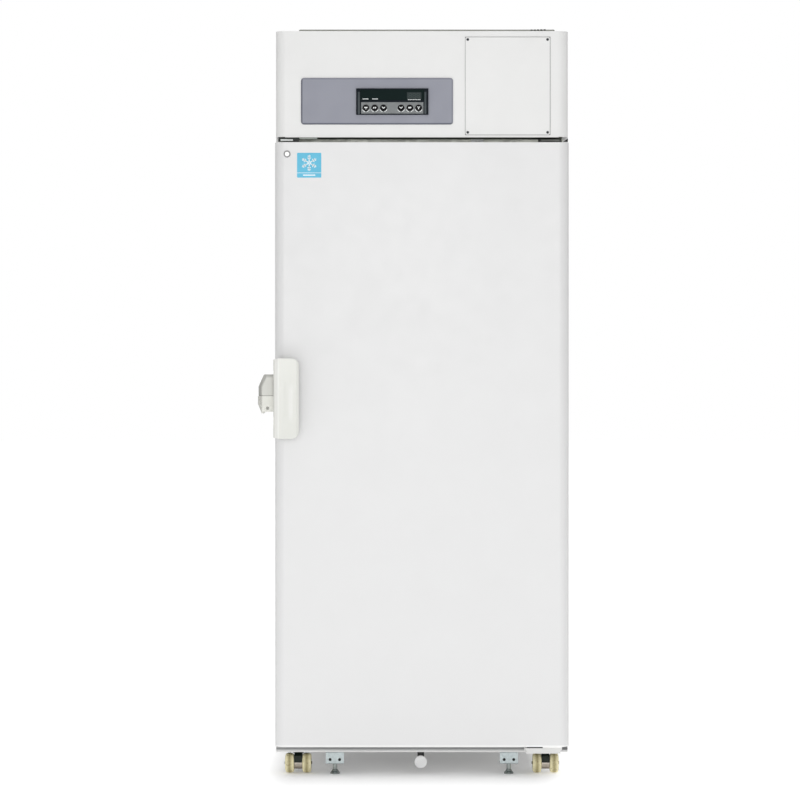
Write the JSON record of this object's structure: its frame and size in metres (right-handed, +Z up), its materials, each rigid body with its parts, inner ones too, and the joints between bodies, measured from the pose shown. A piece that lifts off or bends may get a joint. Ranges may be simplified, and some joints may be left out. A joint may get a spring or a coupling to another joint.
{
  "type": "upright laboratory freezer",
  "caption": "Tall single-door laboratory freezer with a top control fascia, side lever handle, strike, wire shelves, casters and levelling feet.",
  "frame": {"origin": "on the floor, under the middle of the whole object's outline", "axes": "+Z up, -Y out of the door's face, +X towards the hinge side"},
  "size_m": [0.8144, 0.888, 1.964],
  "materials": {
    "white_enamel": "satin",
    "liner_enamel": "satin",
    "galvanised": "satin",
    "bright_steel": "satin",
    "foam_core": "matte",
    "frame_plastic": "matte",
    "plate_grey": "satin",
    "module_black": "satin",
    "window_smoke": "gloss",
    "strip_silver": "satin",
    "key_black": "satin",
    "handle_cream": "satin",
    "strike_cream": "satin",
    "door_plastic": "satin",
    "gasket_grey": "matte",
    "chrome_lock": "polished",
    "caster_black": "matte",
    "wheel_cream": "satin",
    "zinc_foot": "satin",
    "black_rubber": "matte",
    "cap_white": "satin",
    "compressor_black": "satin",
    "fin_aluminium": "satin",
    "fan_plastic": "matte",
    "shelf_coated": "satin"
  },
  "bodies": {
    "cabinet": {"left_side_panel": "white_enamel", "right_side_panel": "white_enamel", "back_panel": "galvanised", "bottom_panel": "galvanised", "machine_deck": "galvanised", "foam_insulation": "foam_core", "inner_liner": "liner_enamel", "breaker_frame": "frame_plastic", "top_fascia": "white_enamel", "recorder_cover": "white_enamel", "panel_screws": "bright_steel", "control_plate": "plate_grey", "display_frame": "module_black", "display_window": "window_smoke", "key_strip": "strip_silver", "top_cover": "white_enamel", "rear_grille": "galvanised", "cord_gland": "black_rubber", "compressor": "compressor_black", "condenser_unit": "fin_aluminium", "evaporator_cover": "liner_enamel", "shelf_posts": "bright_steel", "shelf_clips": "bright_steel", "wire_shelves": "shelf_coated", "access_port": "cap_white", "lower_hinge": "white_enamel", "upper_hinge": "galvanised", "lock_keeper": "white_enamel", "door_switch": "cap_white", "strike_hood": "strike_cream", "padlock_tab": "strike_cream", "caster_plates": "galvanised", "foot_brackets": "galvanised", "drain_elbow": "black_rubber", "drain_cap": "cap_white"},
    "door": {"door_skin": "white_enamel", "door_foam": "foam_core", "door_liner": "door_plastic", "door_gasket": "gasket_grey", "handle_base": "handle_cream", "lock_housing": "chrome_lock"},
    "lever": {"handle_lever": "handle_cream"},
    "lock": {"lock_cylinder": "chrome_lock"},
    "fan": {"condenser_fan": "fan_plastic"},
    "foot_left": {"levelling_foot_left": "zinc_foot"},
    "foot_right": {"levelling_foot_right": "zinc_foot"},
    "key_body_1": {"key_1": "key_black"},
    "key_body_2": {"key_2": "key_black"},
    "key_body_3": {"key_3": "key_black"},
    "key_body_4": {"key_4": "key_black"},
    "key_body_5": {"key_5": "key_black"},
    "key_body_6": {"key_6": "key_black"},
    "swivel_front_left": {"caster_housing_front_left": "caster_black"},
    "wheels_front_left": {"caster_wheels_front_left": "wheel_cream"},
    "swivel_front_right": {"caster_housing_front_right": "caster_black"},
    "wheels_front_right": {"caster_wheels_front_right": "wheel_cream"},
    "swivel_rear_left": {"caster_housing_rear_left": "caster_black"},
    "wheels_rear_left": {"caster_wheels_rear_left": "wheel_cream"},
    "swivel_rear_right": {"caster_housing_rear_right": "caster_black"},
    "wheels_rear_right": {"caster_wheels_rear_right": "wheel_cream"}
  },
  "joints": [
    {"name": "door_hinge", "type": "hinge", "parent": "cabinet", "child": "door", "pos_m": [0.38125, -0.37, 0.9], "axis": [0, 0, 1], "range_deg": [0, 120]},
    {"name": "handle_pull", "type": "hinge", "parent": "door", "child": "lever", "pos_m": [-0.34975, -0.421, 0.9935], "axis": [0, 0, -1], "range_deg": [0, 35], "stiffness_Nm_per_rad": 0.8},
    {"name": "lock_turn", "type": "hinge", "parent": "door", "child": "lock", "pos_m": [-0.33025, -0.402, 1.633], "axis": [0, -1, 0], "range_deg": [0, 90]},
    {"name": "fan_spin", "type": "hinge", "parent": "cabinet", "child": "fan", "pos_m": [-0.16775, -0.049, 1.803], "axis": [0, 1, 0], "continuous": true},
    {"name": "key_press_1", "type": "slide", "parent": "cabinet", "child": "key_body_1", "axis": [0, 1, 0], "range_m": [0, 0.001], "stiffness_N_per_m": 700},
    {"name": "key_press_2", "type": "slide", "parent": "cabinet", "child": "key_body_2", "axis": [0, 1, 0], "range_m": [0, 0.001], "stiffness_N_per_m": 700},
    {"name": "key_press_3", "type": "slide", "parent": "cabinet", "child": "key_body_3", "axis": [0, 1, 0], "range_m": [0, 0.001], "stiffness_N_per_m": 700},
    {"name": "key_press_4", "type": "slide", "parent": "cabinet", "child": "key_body_4", "axis": [0, 1, 0], "range_m": [0, 0.001], "stiffness_N_per_m": 700},
    {"name": "key_press_5", "type": "slide", "parent": "cabinet", "child": "key_body_5", "axis": [0, 1, 0], "range_m": [0, 0.001], "stiffness_N_per_m": 700},
    {"name": "key_press_6", "type": "slide", "parent": "cabinet", "child": "key_body_6", "axis": [0, 1, 0], "range_m": [0, 0.001], "stiffness_N_per_m": 700},
    {"name": "foot_screw_left", "type": "slide", "parent": "cabinet", "child": "foot_left", "axis": [0, 0, 1], "range_m": [-0.01, 0.006]},
    {"name": "foot_screw_right", "type": "slide", "parent": "cabinet", "child": "foot_right", "axis": [0, 0, 1], "range_m": [-0.01, 0.006]},
    {"name": "caster_swivel_front_left", "type": "hinge", "parent": "cabinet", "child": "swivel_front_left", "pos_m": [-0.30575, -0.267, 0.052], "axis": [0, 0, 1], "continuous": true},
    {"name": "wheel_spin_front_left", "type": "hinge", "parent": "swivel_front_left", "child": "wheels_front_left", "pos_m": [-0.30575, -0.283, 0.027], "axis": [1, 0, 0], "continuous": true},
    {"name": "caster_swivel_front_right", "type": "hinge", "parent": "cabinet", "child": "swivel_front_right", "pos_m": [0.35025, -0.267, 0.052], "axis": [0, 0, 1], "continuous": true},
    {"name": "wheel_spin_front_right", "type": "hinge", "parent": "swivel_front_right", "child": "wheels_front_right", "pos_m": [0.35025, -0.283, 0.027], "axis": [1, 0, 0], "continuous": true},
    {"name": "caster_swivel_rear_left", "type": "hinge", "parent": "cabinet", "child": "swivel_rear_left", "pos_m": [-0.30575, 0.353, 0.052], "axis": [0, 0, 1], "continuous": true},
    {"name": "wheel_spin_rear_left", "type": "hinge", "parent": "swivel_rear_left", "child": "wheels_rear_left", "pos_m": [-0.30575, 0.337, 0.026], "axis": [1, 0, 0], "continuous": true},
    {"name": "caster_swivel_rear_right", "type": "hinge", "parent": "cabinet", "child": "swivel_rear_right", "pos_m": [0.35025, 0.353, 0.052], "axis": [0, 0, 1], "continuous": true},
    {"name": "wheel_spin_rear_right", "type": "hinge", "parent": "swivel_rear_right", "child": "wheels_rear_right", "pos_m": [0.35025, 0.337, 0.026], "axis": [1, 0, 0], "continuous": true}
  ]
}
